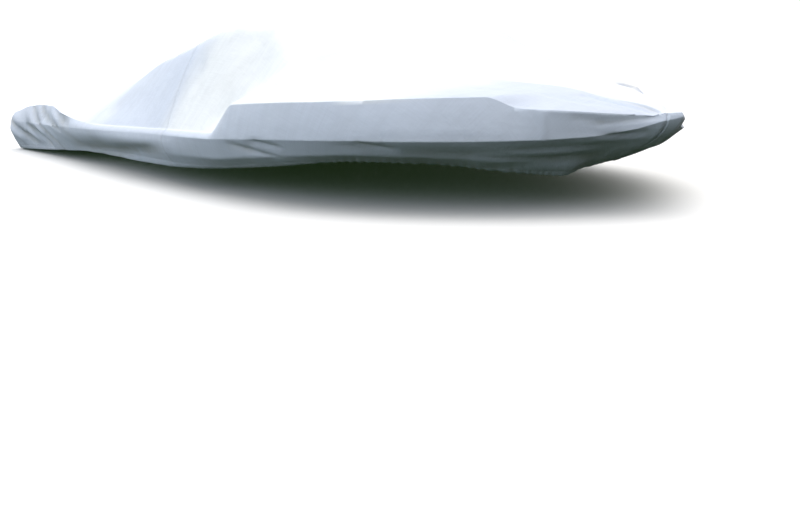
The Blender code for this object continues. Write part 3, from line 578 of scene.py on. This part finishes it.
@lru_cache(maxsize=1)
def drape():
    """The draped cloth, folded and hemmed: points, faces, panel of each face, cloth coordinates."""
    side_t = side_stations()
    verts, walk, drop, which, flat, above, deep, ids, rings, per = sheet_grid(side_t)
    n, m = np.subtract(ids.shape, 1)
    quads = [np.stack((ids[:-1, :-1], ids[1:, :-1], ids[1:, 1:], ids[:-1, 1:]), -1).reshape(-1, 4)]
    row = np.searchsorted(SEAM_LINES, side_t[:-1] + 1e-6)      # panel 0, 1 or 2 of each row
    edge_panel = np.concatenate((row, np.full(m, 3), row[::-1], np.full(m, 0)))
    outside = np.concatenate(quads + strip_faces(rings))
    verts, sag = wrinkle(verts, outside, walk, drop, which)
    fine, sunk = small_creases(verts, walk, drop, which, above)
    verts = verts + normals(verts, outside) * fine[:, None]
    verts[:, 2] -= sunk
    facing = normals(verts, outside)
    sag = np.where(drop > TOP_DROP, sag, 0.0)
    hem = rings[SIDE_RINGS + SKIRT_RINGS:]
    for ring, (_, out) in zip(hem, HEM_OUTSIDE):
        verts[ring] += facing[ring] * out
    heights = [height for height, _ in HEM_OUTSIDE][::-1]
    ladder = [verts[ring] - facing[ring] * out for ring, (_, out) in zip(hem, HEM_OUTSIDE)][::-1]
    parts = [verts, walk, drop, flat, above, deep, sag + fine, facing]
    for height, out in HEM_INSIDE:      # back up inside the hem
        k = np.clip(np.searchsorted(heights, height) - 1, 0, len(heights) - 2)
        g = (height - heights[k]) / (heights[k + 1] - heights[k])
        beside = facing[hem[-1 - k]]
        line = ladder[k] * (1 - g) + ladder[k + 1] * g + beside * out
        rings.append(len(parts[0]) + np.arange(len(per)))
        added = [line, *(values[hem[-1]] for values in parts[1:-1]), -beside]
        parts = [np.concatenate(pair) for pair in zip(parts, added)]
    verts, walk, drop, flat, above, deep, sag, facing = parts
    panel = np.concatenate([np.repeat(row, m)] + [edge_panel] * (len(rings) - 1))
    return SimpleNamespace(
        points=verts, quads=np.concatenate(quads + strip_faces(rings)), panel=panel, walk=walk, flat=flat,
        above=above, deep=deep, sag=sag, bleach_and_light=faded_and_lit(verts, facing, drop), facing=facing, ids=ids,
        rings=rings, per=per, side_t=side_t)


def faded_and_lit(points, facing, drop):
    """Sun fading with painted light on each point: the up-facing roof and the slope round the windscreen.
    """
    forward, out, up = points[:, 0], points[:, 1], facing[:, 2]
    inboard = smoothstep(-0.012, 0.012, out + 0.108 - 0.27 * (forward - 4.74))
    roof = smoothstep(0.72, 0.88, up) * np.maximum(smoothstep(4.55, 4.25, forward), inboard)
    screen = smoothstep(2.92, 3.18, forward) * smoothstep(4.45, 4.2, forward) * smoothstep(0.35, 0.55, up)
    return np.maximum(roof, screen) * smoothstep(-0.4, -0.5, drop)


def lapped(cloth, number):
    """Points of the cloth with a panel's lap standing past the seam line behind it."""
    if number == 0:
        return cloth.points
    if number == 3:
        past = np.minimum(cloth.deep, np.abs(cloth.walk - AT_NOSE))
    else:
        past = cloth.walk - SEAM_LINES[number - 1]
    rise = np.interp(past, *np.transpose(LAP), left=0.0, right=0.0)
    return cloth.points + cloth.facing * rise[:, None]


def seam_path(cloth, row):
    """Points round one station row, starboard hem to port hem."""
    n, m = np.subtract(cloth.ids.shape, 1)
    star = [cloth.rings[k][row] for k in range(STITCHED_RING, 0, -1)]
    port = [cloth.rings[k][2 * n + m - row] for k in range(1, STITCHED_RING + 1)]
    return np.concatenate((star, cloth.ids[row], port))


def thread(points, facing, sewn):
    """One row of stitches along a path: short threads that dip into the cloth at both ends."""
    at, length, width = arc(points, 0), sewn.length, sewn.width
    count = max(2, int(at[-1] / sewn.pitch))
    mid = (np.arange(count) + 0.5) * at[-1] / count

    def along(place, values):
        return np.stack([np.interp(place, at, values[:, k]) for k in range(3)], -1)
    up = unit(along(mid, facing))
    rings = []
    for ahead, rise, size in ((-0.5, -0.35, 0.45), (-0.2, 0.3, 1.0), (0.2, 0.3, 1.0), (0.5, -0.35, 0.45)):
        p = along(mid + ahead * length, points)
        out = unit(np.cross(along(mid + (ahead + 0.1) * length, points) - p, up))
        middle, r = p + up * rise * width, 0.5 * width * size
        rings.append(np.stack((middle + up * r, middle + out * r, middle - up * r, middle - out * r), 1))
    verts = np.stack(rings, 1).reshape(-1, 3)      # stitch, ring, corner
    one = [(4 * k + c, 4 * k + d, 4 * k + 4 + d, 4 * k + 4 + c)
           for k in range(3) for c, d in zip(range(4), (1, 2, 3, 0))]
    one += [(3, 2, 1, 0), (12, 13, 14, 15)]
    faces = (np.array(one)[None] + 16 * np.arange(count)[:, None, None]).reshape(-1, 4)
    return verts, faces


# ---------------------------------------------------------------- finishes

def feed(tree, sockets, values):
    """Link or set each socket that has a value."""
    for socket, value in zip(sockets, values):
        if hasattr(value, "is_output"):
            tree.links.new(value, socket)
        elif value is not None:
            socket.default_value = value


def fill(tree, node, **values):
    """Set a node; a value named for a socket goes to that socket, any other is a setting."""
    for name, value in values.items():
        if hasattr(node, name):
            setattr(node, name, value)
        else:
            feed(tree, (node.inputs[name.replace("_", " ")],), (value,))
    return node


def add(tree, kind, **values):
    return fill(tree, tree.nodes.new("ShaderNode" + kind), **values)


def maths(tree, operation, a, b=0.0):
    node = add(tree, "Math", operation=operation)
    feed(tree, node.inputs, (a, b))
    return node.outputs[0]


def times(tree, a, b):
    return maths(tree, "MULTIPLY", a, b)


def arrows(tree, operation, a, b=None, scale=None):
    """Sum on vectors or colours; gives a number for DOT_PRODUCT."""
    node = add(tree, "VectorMath", operation=operation)
    feed(tree, (node.inputs[0], node.inputs[1], node.inputs[3]), (a, b, scale))
    return node.outputs["Value" if operation == "DOT_PRODUCT" else "Vector"]


def blend(tree, factor, a, b):
    """Mix of two colours, each a socket or three numbers."""
    node = add(tree, "Mix", data_type="RGBA")
    a, b = [c if hasattr(c, "is_output") else (*c, 1.0) for c in (a, b)]
    feed(tree, (node.inputs[0], node.inputs[6], node.inputs[7]), (factor, a, b))
    return node.outputs[2]


def ranged(tree, value, low, high, to_low=0.0, to_high=1.0):
    node = add(tree, "MapRange")
    feed(tree, node.inputs, (value, low, high, to_low, to_high))
    return node.outputs[0]


def noise(tree, where, scale, detail=2.0, kind="FBM", stretch=None, roughness=0.5):
    if stretch is not None:
        where = add(tree, "Mapping", Vector=where, Scale=stretch).outputs[0]
    return add(tree, "TexNoise", noise_type=kind, Vector=where, Scale=scale, Detail=detail,
               Roughness=roughness).outputs[0]


def bumped(tree, *layers):
    """Bumps of several (height, distance), each on top of the one before."""
    lean = None
    for height, distance in layers:
        lean = add(tree, "Bump", Height=height, Distance=distance, Normal=lean).outputs[0]
    return lean


def shade(colour, by):
    return tuple(c * by for c in colour)


def new_finish(name):
    """A material, its tree, its shader and the object's coordinates."""
    finish = bpy.data.materials.new(name)
    finish.use_nodes = True
    tree = finish.node_tree
    return finish, tree, tree.nodes["Principled BSDF"], add(tree, "TexCoord").outputs["Object"]


def canvas(name, colour, settings):
    """Woven canvas: plain weave, uneven yarn, weathered colour, dust and painted shade in folds, painted
    light on top.
    """
    finish, tree, shader, place = new_finish(name)
    flat = add(tree, "UVMap", uv_map="cloth").outputs[0]
    split = add(tree, "SeparateXYZ", Vector=flat)
    turn = 2 * math.pi / settings.weave
    warp, weft = [maths(tree, "SINE", times(tree, split.outputs[k], turn)) for k in range(2)]
    weave = times(tree, warp, weft)
    yarn = maths(tree, "ADD", *(noise(tree, flat, 1.0, 1.0, stretch=along)
                                for along in ((7.0, 420.0, 1.0), (420.0, 7.0, 1.0))))
    streak = noise(tree, flat, 1.0, 2.0, stretch=(26.0, 1.6, 1.0))
    cloud = noise(tree, place, 1.3, 4.0, roughness=0.6)
    patch = noise(tree, place, 7.0, 3.0, roughness=0.6)
    sag, wear, bleach_and_light = [add(tree, "Attribute", attribute_name=mask).outputs["Fac"] for mask in MASKS]
    # the up-facing top is whitened: sun fading together with painted light
    tone = blend(tree, bleach_and_light, colour, settings.bleached_and_lit_colour)
    for texture, *limits in ((cloud, 0.36, 0.66, 0.96, 1.02), (patch, 0.4, 0.7, 1.0, 0.977),
                             (streak, 0.44, 0.62, 1.0, 0.972), (yarn, 0.8, 1.2, 0.945, 1.0)):
        tone = arrows(tree, "SCALE", tone, scale=ranged(tree, texture, *limits))
    # dust in the folds, deepened as painted shade where the cloth folds in
    dust_and_shade = times(tree, sag, ranged(tree, patch, 0.3, 0.65, 0.35, 1.0))
    tone = blend(tree, times(tree, dust_and_shade, 0.55), tone, settings.dust_and_shade_colour)
    rubbed = times(tree, wear, ranged(tree, patch, 0.35, 0.6, 0.4, 1.0))
    tone = blend(tree, times(tree, rubbed, 0.3), tone, shade(colour, 0.8))
    creased = noise(tree, place, 5.0, 4.0, "RIDGED_MULTIFRACTAL", roughness=0.55)
    crumple = noise(tree, place, 17.0, 3.0, roughness=0.6)
    pucker = times(tree, wear, noise(tree, place, 75.0, 2.0))
    lean = bumped(tree, (creased, 0.0012), (crumple, 0.0028), (pucker, 0.003), (yarn, 0.0003),
                  (weave, 0.00012))
    fill(tree, shader, Base_Color=tone, Roughness=0.92, Specular_IOR_Level=0.25, Sheen_Weight=0.12,
         Sheen_Roughness=0.55, Normal=lean)
    return finish


def sewing_thread(name, colour):
    """Twisted polyester thread."""
    finish, tree, shader, place = new_finish(name)
    ply = noise(tree, place, 900.0, 1.0, stretch=(1.0, 1.0, 2.0))
    age = noise(tree, place, 4.0, 3.0)
    tone = blend(tree, ranged(tree, ply, 0.35, 0.65), shade(colour, 0.75), shade(colour, 1.1))
    tone = blend(tree, ranged(tree, age, 0.4, 0.65, 0.0, 0.5), tone, shade(colour, 0.8))
    lean = bumped(tree, (ply, 0.0002))
    fill(tree, shader, Base_Color=tone, Roughness=0.55, Sheen_Weight=0.2, Normal=lean)
    return finish


def studio_floor(name, colour):
    """Pale floor paint, faintly uneven."""
    finish, tree, shader, place = new_finish(name)
    cloud = ranged(tree, noise(tree, place, 0.6, 3.0), 0.35, 0.65)
    tone = blend(tree, cloud, shade(colour, 0.985), colour)
    fill(tree, shader, Base_Color=tone, Roughness=0.9, Specular_IOR_Level=0.2)
    return finish


# ---------------------------------------------------------------- sizes and colours

COLOUR = {"subtype": "COLOR", "min": 0.0, "max": 1.0}
LENGTH = {"unit": "LENGTH", "precision": 4}
STRENGTH = {"min": 0.0, "max": 10.0}


class CoverCloth(PropertyGroup):
    cloth_colour: FloatVectorProperty(
        name="Cloth colour", description="Dyed colour of the canvas", default=(0.61, 0.674, 0.8), **COLOUR)
    # this colour carries sun fading and painted light on the up-facing top
    bleached_and_lit_colour: FloatVectorProperty(
        name="Bleached colour", description="Colour of the canvas where the sun has faded it",
        default=(0.8, 0.84, 0.885), **COLOUR)
    # dust and painted shade in the folds take this colour
    dust_and_shade_colour: FloatVectorProperty(
        name="Dust colour", description="Colour that gathers in the folds", default=(0.42, 0.43, 0.42),
        **COLOUR)
    thickness: FloatProperty(
        name="Thickness", description="Thickness of one layer of canvas", default=0.0015,
        min=0.0008, max=0.003, **LENGTH)
    weave: FloatProperty(
        name="Weave", description="Distance between two warp threads", default=0.0012,
        min=0.0005, max=0.004, **LENGTH)


class CoverThread(PropertyGroup):
    thread_colour: FloatVectorProperty(
        name="Thread colour", description="Colour of the stitching", default=(0.5, 0.52, 0.55), **COLOUR)
    pitch: FloatProperty(
        name="Stitch spacing", description="Distance from one stitch to the next", default=0.005,
        min=0.002, max=0.02, **LENGTH)
    length: FloatProperty(
        name="Stitch length", description="Length of thread that shows", default=0.0039,
        min=0.001, max=0.015, **LENGTH)
    width: FloatProperty(
        name="Thread width", description="Diameter of the thread", default=0.0008,
        min=0.0003, max=0.003, **LENGTH)


class CoverStage(PropertyGroup):
    floor_colour: FloatVectorProperty(
        name="Floor colour", description="Colour of the studio floor", default=(0.86, 0.87, 0.88), **COLOUR)
    overhead: FloatProperty(
        name="Overhead", description="Strength of the light straight overhead", default=2.85, **STRENGTH)
    aft: FloatProperty(
        name="Aft", description="Strength of the low light from astern", default=0.5, **STRENGTH)
    starboard: FloatProperty(
        name="Starboard", description="Strength of the low light from starboard", default=5.4, **STRENGTH)
    backdrop: FloatProperty(
        name="Backdrop", description="Strength of the low light from behind", default=1.15, **STRENGTH)
    camera_place: FloatVectorProperty(
        name="Camera place", description="Where the camera stands", subtype="TRANSLATION", unit="LENGTH",
        default=(3.337, -2.382, -0.248))
    heading: FloatProperty(
        name="Heading", description="Turn of the camera to the left of +Y", subtype="ANGLE",
        default=math.radians(54.48))
    tilt: FloatProperty(
        name="Tilt", description="How far the camera looks down", subtype="ANGLE",
        default=math.radians(12.74))
    roll: FloatProperty(
        name="Roll", description="Roll of the camera", subtype="ANGLE", default=math.radians(-1.2))
    lens: FloatProperty(
        name="Lens", description="Focal length in millimetres on a 36 mm sensor", default=37.3,
        min=10.0, max=200.0)


# Colours of the studio's light, and where its low lights stand.
ZENITH, UNDERNEATH = (1.03, 1.0, 0.97), (0.014, 0.028, 0.008)
AFT_LIGHT, SIDE_LIGHT, LOW_TINT = (0.64, 0.87, 1.13), (1.04, 1.07, 1.34), (0.67, 0.9, 0.58)
WHITE, BACKDROP_WHITE = (1.0, 1.0, 1.0), (1.15, 1.15, 1.15)
FLOOR_SIZE, FLOOR_GAP, SENSOR_MM = 240.0, 0.004, 36.0
ASTERN, ABEAM, BEHIND = (-0.96, -0.29, 0.0), (0.1, -0.99, 0.0), (-0.81, 0.58, 0.0)


# ---------------------------------------------------------------- making

def only(obj):
    """Make obj the one selected and active object."""
    bpy.ops.object.select_all(action="DESELECT")
    bpy.context.view_layer.objects.active = obj
    obj.select_set(True)


def mesh_object(name, points, faces):
    mesh = bpy.data.meshes.new(name)
    mesh.from_pydata((points - ORIGIN).tolist(), [], faces.tolist())
    obj = bpy.data.objects.new(name, mesh)
    bpy.context.scene.collection.objects.link(obj)
    only(obj)
    bpy.ops.object.shade_smooth()
    return obj


def panel_object(cloth, number, name, thickness):
    """One panel of the cover as a sheet, with cloth coordinates and the masks of its finish."""
    used, faces = np.unique(cloth.quads[cloth.panel == number], return_inverse=True)
    faces = faces.reshape(-1, 4)
    obj = mesh_object(name, lapped(cloth, number)[used], faces)
    mesh = obj.data
    mesh.uv_layers.new(name="cloth").data.foreach_set("uv", cloth.flat[used][faces].ravel())
    seam = np.min([np.abs(cloth.walk[used] - line - LAP_MIDDLE) for line in SEAM_LINES], axis=0)
    near = np.minimum(seam, np.abs(cloth.above[used] - HEM_MIDDLE))
    # fold depth gives the dust with painted shade; the last mask gives sun fading with painted light on the
    # top
    values = -cloth.sag[used] / SAG_DEPTH, np.exp(-(near / WORN_WIDTH)**2), cloth.bleach_and_light[used]
    for mask, value in zip(MASKS, values):
        mesh.attributes.new(mask, "FLOAT", "POINT").data.foreach_set("value", np.clip(value, 0, 1))
    shell = obj.modifiers.new("cloth", "SOLIDIFY")
    shell.thickness, shell.offset = thickness, -1.0
    bpy.ops.object.modifier_apply(modifier=shell.name)
    bpy.ops.object.shade_smooth_by_angle(angle=SHARP_ANGLE)
    # the upper edge of the side stays smooth
    ends, sharp = np.empty(2 * len(mesh.edges), np.int32), np.empty(len(mesh.edges), bool)
    mesh.edges.foreach_get("vertices", ends)
    mesh.edges.foreach_get("use_edge_sharp", sharp)
    rim = np.isin(ends.reshape(-1, 2), np.flatnonzero(np.isin(used, cloth.rings[0]))).all(1)
    mesh.edges.foreach_set("use_edge_sharp", sharp & ~rim)
    return obj


class COVER_OT_panels(Operator):
    """Make the four sewn canvas panels with their laps and hem"""
    bl_idname = "cover.panels"
    bl_label = "Cloth panels"

    def execute(self, context):
        cloth, settings = drape(), context.scene.cover_cloth
        lo, hi = cloth.points.min(0) - ORIGIN, cloth.points.max(0) - ORIGIN
        if np.abs(np.array(CAD_BOX) - (lo, hi)).max() > FIT_LIMIT:
            raise RuntimeError(f"the drape doesn't fill the frame: {lo} {hi}")
        for number, (node, flat, area, painted_light_factor) in enumerate(PANELS):
            obj = panel_object(cloth, number, node.replace("panel", "cloth"), settings.thickness)
            # the transom panel's colour is darkened as painted shade, the bow panel's lightened as painted
            # light
            colour = shade(settings.cloth_colour, painted_light_factor)
            obj.data.materials.append(canvas(f"{node}_canvas", colour, settings))
            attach(obj, "root")
            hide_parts(node)
        return {"FINISHED"}


class COVER_OT_stitching(Operator):
    """Sew the laps and the hem: twin rows on each seam, one row round the hem"""
    bl_idname = "cover.stitching"
    bl_label = "Stitching"

    def execute(self, context):
        cloth, sewn = drape(), context.scene.cover_thread
        n, m = np.subtract(cloth.ids.shape, 1)
        finish = sewing_thread("polyester_thread", sewn.thread_colour)
        seams = []
        for number, line in zip((1, 2), SEAM_LINES):
            stands = lapped(cloth, number)
            for row in LAP_STITCHES:
                k = int(np.argmin(np.abs(cloth.side_t - line - LAP[row][0])))
                seams.append((stands, seam_path(cloth, k)))
        stands = lapped(cloth, 3)
        nose = cloth.per[n:n + m]
        for row in LAP_STITCHES:
            for half in (slice(0, m // 2), slice(m // 2, m)):
                j = n + half.start + int(np.argmin(np.abs(nose[half] - AT_NOSE - LAP[row][0])))
                seams.append((stands, np.array([cloth.rings[k][j] for k in range(1, STITCHED_RING + 1)])))
        for ring in (1, 2):
            seams.append((stands, cloth.rings[ring][n + 4:n + m - 3]))
        ring = cloth.rings[STITCHED_RING]
        hem = [(lapped(cloth, 0), np.append(ring, ring[0]))]
        for name, rows in (("seam_stitches", seams), ("hem_stitches", hem)):
            verts, faces, count = [], [], 0
            for stands, path in rows:
                v, f = thread(stands[path], cloth.facing[path], sewn)
                verts.append(v)
                faces.append(f + count)
                count += len(v)
            obj = mesh_object(name, np.concatenate(verts), np.concatenate(faces))
            obj.data.materials.append(finish)
            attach(obj, "root")
        return {"FINISHED"}


def light_dome(tree, stage):
    """Light from overhead and from three low sides, dark below; the camera sees white."""
    way = add(tree, "TexCoord").outputs["Generated"]
    height = add(tree, "SeparateXYZ", Vector=way).outputs[2]
    up = maths(tree, "MAXIMUM", height, 0.0)
    level = arrows(tree, "NORMALIZE", arrows(tree, "MULTIPLY", way, (1.0, 1.0, 0.0)))
    sides = []
    for side, narrow, power in (
            (ASTERN, 1.0, stage.aft), (ABEAM, 5.5, stage.starboard), (BEHIND, 1.0, stage.backdrop)):
        facing = maths(tree, "MAXIMUM", arrows(tree, "DOT_PRODUCT", level, side), 0.0)
        sides.append(times(tree, maths(tree, "POWER", facing, narrow), power))
    aft, beam, behind = sides
    low = arrows(tree, "ADD", arrows(tree, "SCALE", AFT_LIGHT, scale=aft),
                 arrows(tree, "SCALE", SIDE_LIGHT, scale=beam))
    band = times(tree, ranged(tree, up, 0.7, 0.0), ranged(tree, up, 0.0, 0.28))
    low = arrows(tree, "SCALE", low, scale=band)
    low = arrows(tree, "MULTIPLY", low, blend(tree, ranged(tree, up, 0.05, 0.45), LOW_TINT, WHITE))
    wall = times(tree, behind, maths(tree, "SUBTRACT", 1.0, up))
    high = times(tree, maths(tree, "POWER", up, 2.2), stage.overhead)
    sky = arrows(tree, "ADD", low, arrows(tree, "SCALE", ZENITH, scale=high))
    sky = arrows(tree, "ADD", sky, arrows(tree, "SCALE", WHITE, scale=wall))
    sky = blend(tree, ranged(tree, height, -0.06, -0.02), UNDERNEATH, sky)
    seen = add(tree, "LightPath").outputs["Is Camera Ray"]
    fill(tree, tree.nodes["Background"], Color=blend(tree, seen, sky, BACKDROP_WHITE))


class COVER_OT_stage(Operator):
    """Set the studio: pale floor, soft dome, white backdrop and camera"""
    bl_idname = "cover.stage"
    bl_label = "Studio"

    def execute(self, context):
        stage, scene = context.scene.cover_stage, context.scene
        bpy.ops.mesh.primitive_plane_add(size=FLOOR_SIZE, location=(0.0, 0.0, CAD_BOX[0][2] - FLOOR_GAP))
        floor = context.active_object
        floor.name = "studio_floor"
        only(floor)
        bpy.ops.object.transform_apply(location=True)
        floor.data.materials.append(studio_floor("floor_paint", stage.floor_colour))
        floor.visible_diffuse = False
        scene.world = bpy.data.worlds.new("studio_dome")
        scene.world.use_nodes = True
        light_dome(scene.world.node_tree, stage)
        lens = bpy.data.cameras.new("camera")
        lens.lens, lens.sensor_width, lens.clip_end = stage.lens, SENSOR_MM, 500.0
        camera = bpy.data.objects.new("camera", lens)
        scene.collection.objects.link(camera)
        a, p, r = stage.heading, stage.tilt, stage.roll
        ahead = Vector((-math.sin(a) * math.cos(p), math.cos(a) * math.cos(p), -math.sin(p)))
        level = Vector((math.cos(a), math.sin(a), 0.0))
        above = level.cross(ahead)
        right = level * math.cos(r) + above * math.sin(r)
        above = above * math.cos(r) - level * math.sin(r)
        turn = Matrix((right, above, -ahead)).transposed()
        camera.matrix_world = Matrix.Translation(stage.camera_place) @ turn.to_4x4()
        scene.camera = camera
        scene.view_settings.view_transform = "Standard"
        return {"FINISHED"}


class COVER_PT_sidebar(Panel):
    """Sizes, colours and steps of the boat cover"""
    bl_idname = "COVER_PT_sidebar"
    bl_label = "Boat cover"
    bl_space_type = "VIEW_3D"
    bl_region_type = "UI"
    bl_category = "Boat cover"

    def draw(self, context):
        for group, step in (("cover_cloth", "cover.panels"), ("cover_thread", "cover.stitching"),
                            ("cover_stage", "cover.stage")):
            box = self.layout.box()
            settings = getattr(context.scene, group)
            for name in settings.__annotations__:
                box.prop(settings, name)
            box.operator(step)


CLASSES = (CoverCloth, CoverThread, CoverStage, COVER_OT_panels, COVER_OT_stitching, COVER_OT_stage,
           COVER_PT_sidebar)


def register():
    for kind in CLASSES:
        bpy.utils.register_class(kind)
    bpy.types.Scene.cover_cloth = PointerProperty(type=CoverCloth)
    bpy.types.Scene.cover_thread = PointerProperty(type=CoverThread)
    bpy.types.Scene.cover_stage = PointerProperty(type=CoverStage)


def unregister():
    del bpy.types.Scene.cover_stage, bpy.types.Scene.cover_thread, bpy.types.Scene.cover_cloth
    for kind in reversed(CLASSES):
        bpy.utils.unregister_class(kind)


def main():
    register()
    bpy.ops.cover.stage()
    bpy.ops.cover.panels()
    bpy.ops.cover.stitching()


if __name__ == "__main__":
    main()
